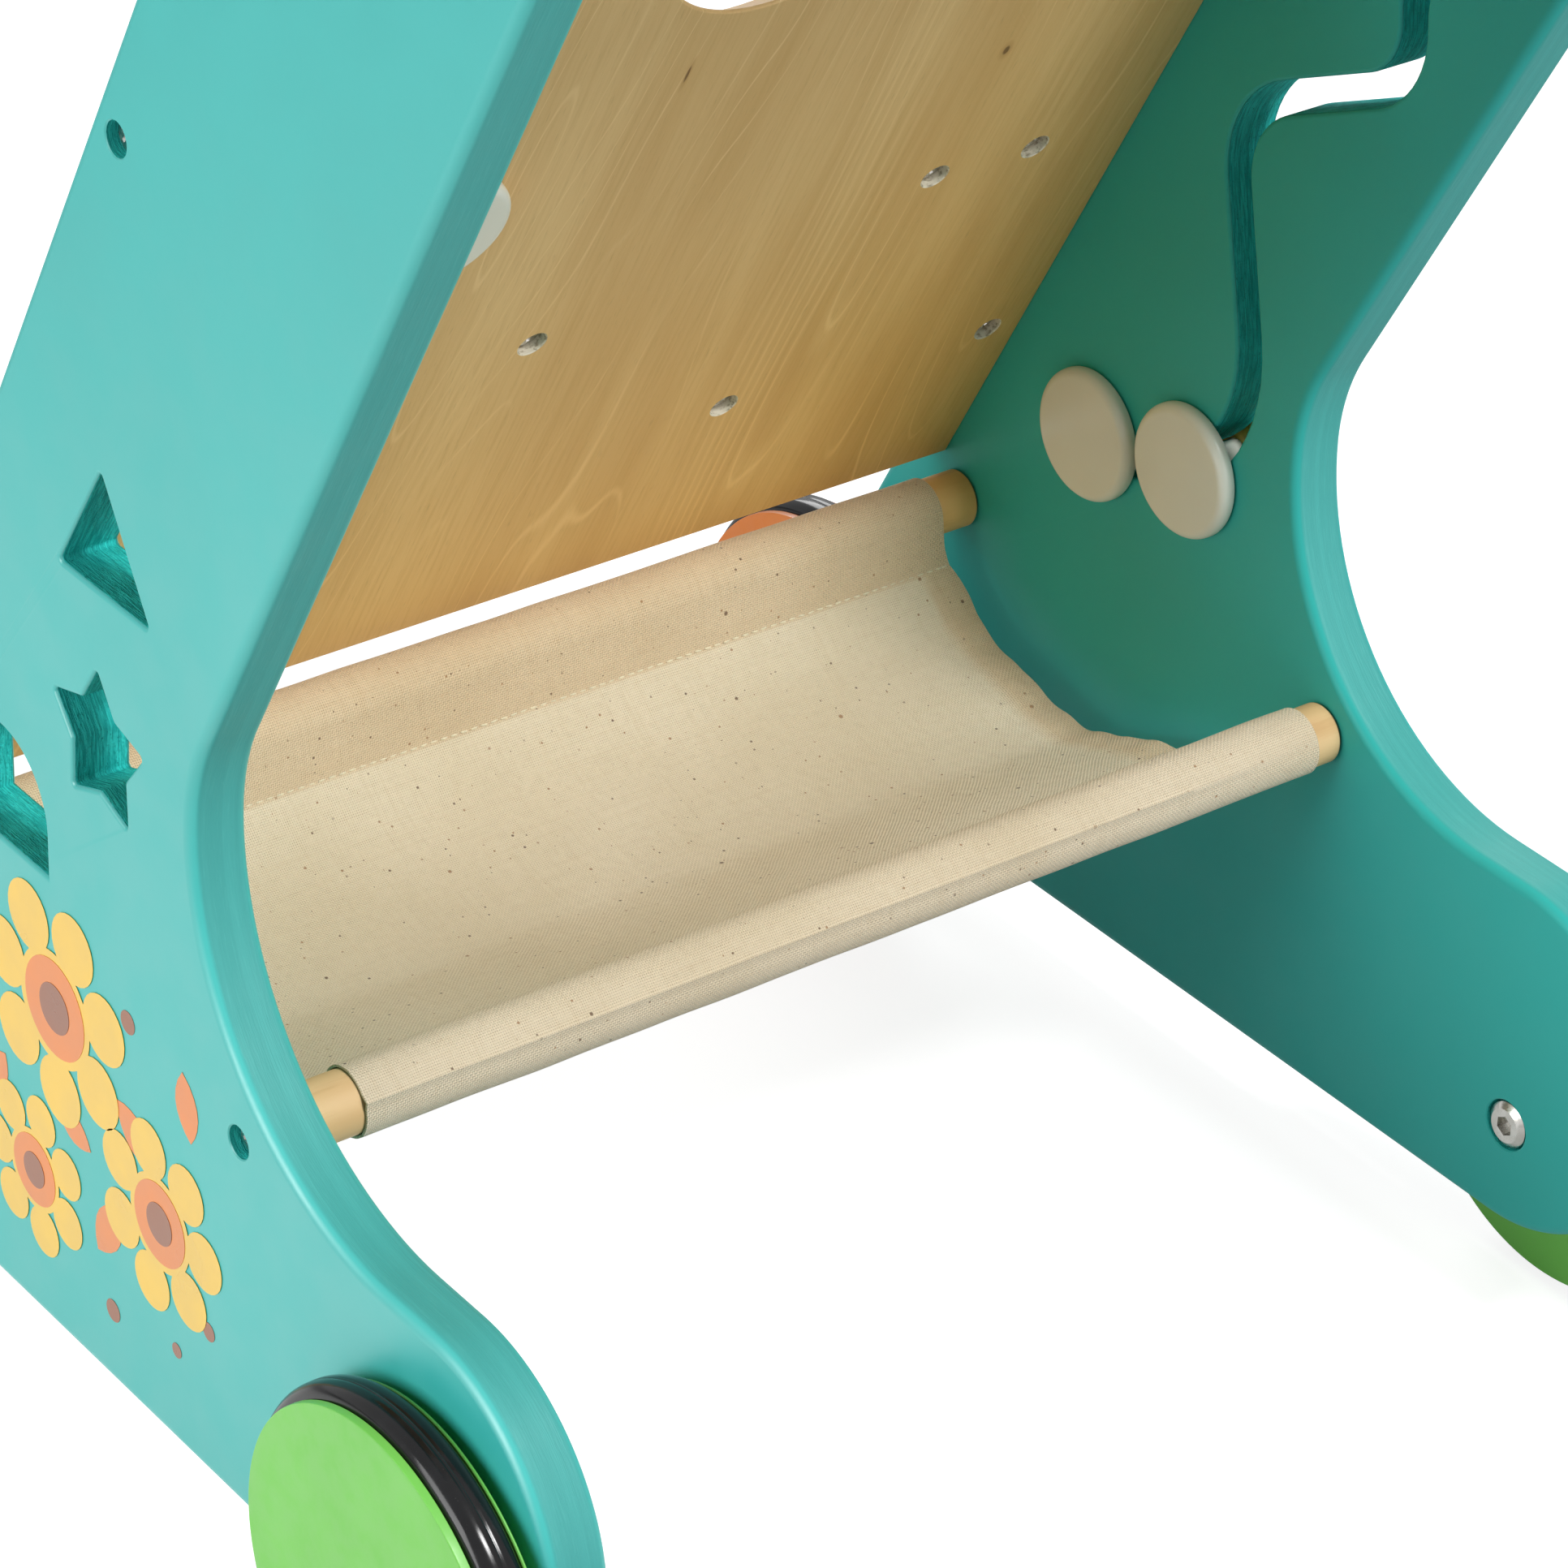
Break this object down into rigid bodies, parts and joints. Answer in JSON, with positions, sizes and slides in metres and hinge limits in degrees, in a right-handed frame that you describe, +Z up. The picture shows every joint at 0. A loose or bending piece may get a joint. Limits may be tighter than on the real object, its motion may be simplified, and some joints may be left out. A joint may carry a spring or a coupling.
{
  "type": "baby push walker",
  "caption": "Push walker with painted side panels, slanted activity board, round handle bar, cloth sling basket on dowels and rubber-tyred wheels.",
  "frame": {"origin": "on the floor under the middle of the walker, midway between the axles and the side panels", "axes": "+X to the right, +Y in the direction of travel, +Z up"},
  "size_m": [0.3626, 0.367, 0.502],
  "materials": {
    "teal_paint": "satin paint",
    "board_ply": "clear lacquer",
    "dowel_wood": "sanded",
    "cloth": "plain woven cotton",
    "steel": "zinc plated",
    "wheel_green": "matte",
    "wheel_orange": "matte",
    "tyre_rubber": "gloss",
    "cream_plastic": "satin",
    "orange_paint": "satin paint",
    "green_paint": "satin paint",
    "yellow_paint": "satin paint"
  },
  "bodies": {
    "frame": {"left_side_panel": "teal_paint", "right_side_panel": "teal_paint", "activity_board": "board_ply", "handle_bar": "dowel_wood", "front_dowel": "dowel_wood", "rear_dowel": "dowel_wood", "basket_sling": "cloth", "left_panel_screws": "steel", "right_panel_screws": "steel", "board_screws": "steel", "upper_gear_peg": "cream_plastic", "lower_gear_peg": "cream_plastic", "bead_rail": "dowel_wood", "fixed_knob": "orange_paint", "rear_left_bolt": "steel", "rear_left_washer": "steel", "rear_left_nut": "steel", "rear_right_bolt": "steel", "rear_right_washer": "steel", "rear_right_nut": "steel", "front_left_bolt": "steel", "front_left_washer": "steel", "front_left_nut": "steel", "front_right_bolt": "steel", "front_right_washer": "steel", "front_right_nut": "steel"},
    "rear_left_wheel": {"rear_left_core": "wheel_green", "rear_left_tyre": "tyre_rubber", "rear_left_cover": "wheel_green"},
    "rear_right_wheel": {"rear_right_core": "wheel_green", "rear_right_tyre": "tyre_rubber", "rear_right_cover": "wheel_green"},
    "front_left_wheel": {"front_left_core": "wheel_orange", "front_left_tyre": "tyre_rubber", "front_left_cover": "wheel_orange"},
    "front_right_wheel": {"front_right_core": "wheel_orange", "front_right_tyre": "tyre_rubber", "front_right_cover": "wheel_orange"},
    "upper_slider": {"upper_slider_disc": "cream_plastic", "upper_slider_knob": "yellow_paint"},
    "lower_slider": {"lower_slider_disc": "cream_plastic", "lower_slider_knob": "orange_paint"},
    "upper_gear": {"upper_gear": "orange_paint"},
    "lower_gear": {"lower_gear": "green_paint"},
    "bead": {"rail_bead": "yellow_paint"},
    "spinner": {"spinner_disc": "cream_plastic", "spinner_petals": "yellow_paint"}
  },
  "joints": [
    {"name": "rear_left_wheel_spin", "type": "hinge", "parent": "frame", "child": "rear_left_wheel", "pos_m": [-0.1743, -0.131, 0.0525], "axis": [1, 0, 0], "continuous": true},
    {"name": "rear_right_wheel_spin", "type": "hinge", "parent": "frame", "child": "rear_right_wheel", "pos_m": [0.1743, -0.131, 0.0525], "axis": [1, 0, 0], "continuous": true},
    {"name": "front_left_wheel_spin", "type": "hinge", "parent": "frame", "child": "front_left_wheel", "pos_m": [-0.1407, 0.131, 0.0525], "axis": [1, 0, 0], "continuous": true},
    {"name": "front_right_wheel_spin", "type": "hinge", "parent": "frame", "child": "front_right_wheel", "pos_m": [0.1407, 0.131, 0.0525], "axis": [1, 0, 0], "continuous": true},
    {"name": "upper_slider_travel", "type": "hinge", "parent": "frame", "child": "upper_slider", "pos_m": [0.1575, 0.02727, 0.20951], "axis": [-1, 0, 0], "range_deg": [0, 65]},
    {"name": "lower_slider_travel", "type": "hinge", "parent": "frame", "child": "lower_slider", "pos_m": [0.1575, 0.02727, 0.20951], "axis": [-1, 0, 0], "range_deg": [0, 65]},
    {"name": "upper_gear_spin", "type": "hinge", "parent": "frame", "child": "upper_gear", "pos_m": [-0.023, 0.05443, 0.24758], "axis": [0, 0.8813, 0.4726], "continuous": true},
    {"name": "lower_gear_spin", "type": "hinge", "parent": "frame", "child": "lower_gear", "pos_m": [0.054, 0.08136, 0.19735], "axis": [0, 0.8813, 0.4726], "continuous": true},
    {"name": "bead_slide", "type": "slide", "parent": "frame", "child": "bead", "axis": [1, 0, 0], "range_m": [-0.0045, 0.0045]},
    {"name": "spinner_spin", "type": "hinge", "parent": "frame", "child": "spinner", "pos_m": [-0.0705, 0.02841, 0.30455], "axis": [0, 0.8813, 0.4726], "continuous": true}
  ],
  "couplings": [
    {"joint": "lower_gear_spin", "follows": "upper_gear_spin", "ratio": -1},
    {"joint": "lower_slider_travel", "follows": "upper_slider_travel", "ratio": 1}
  ]
}
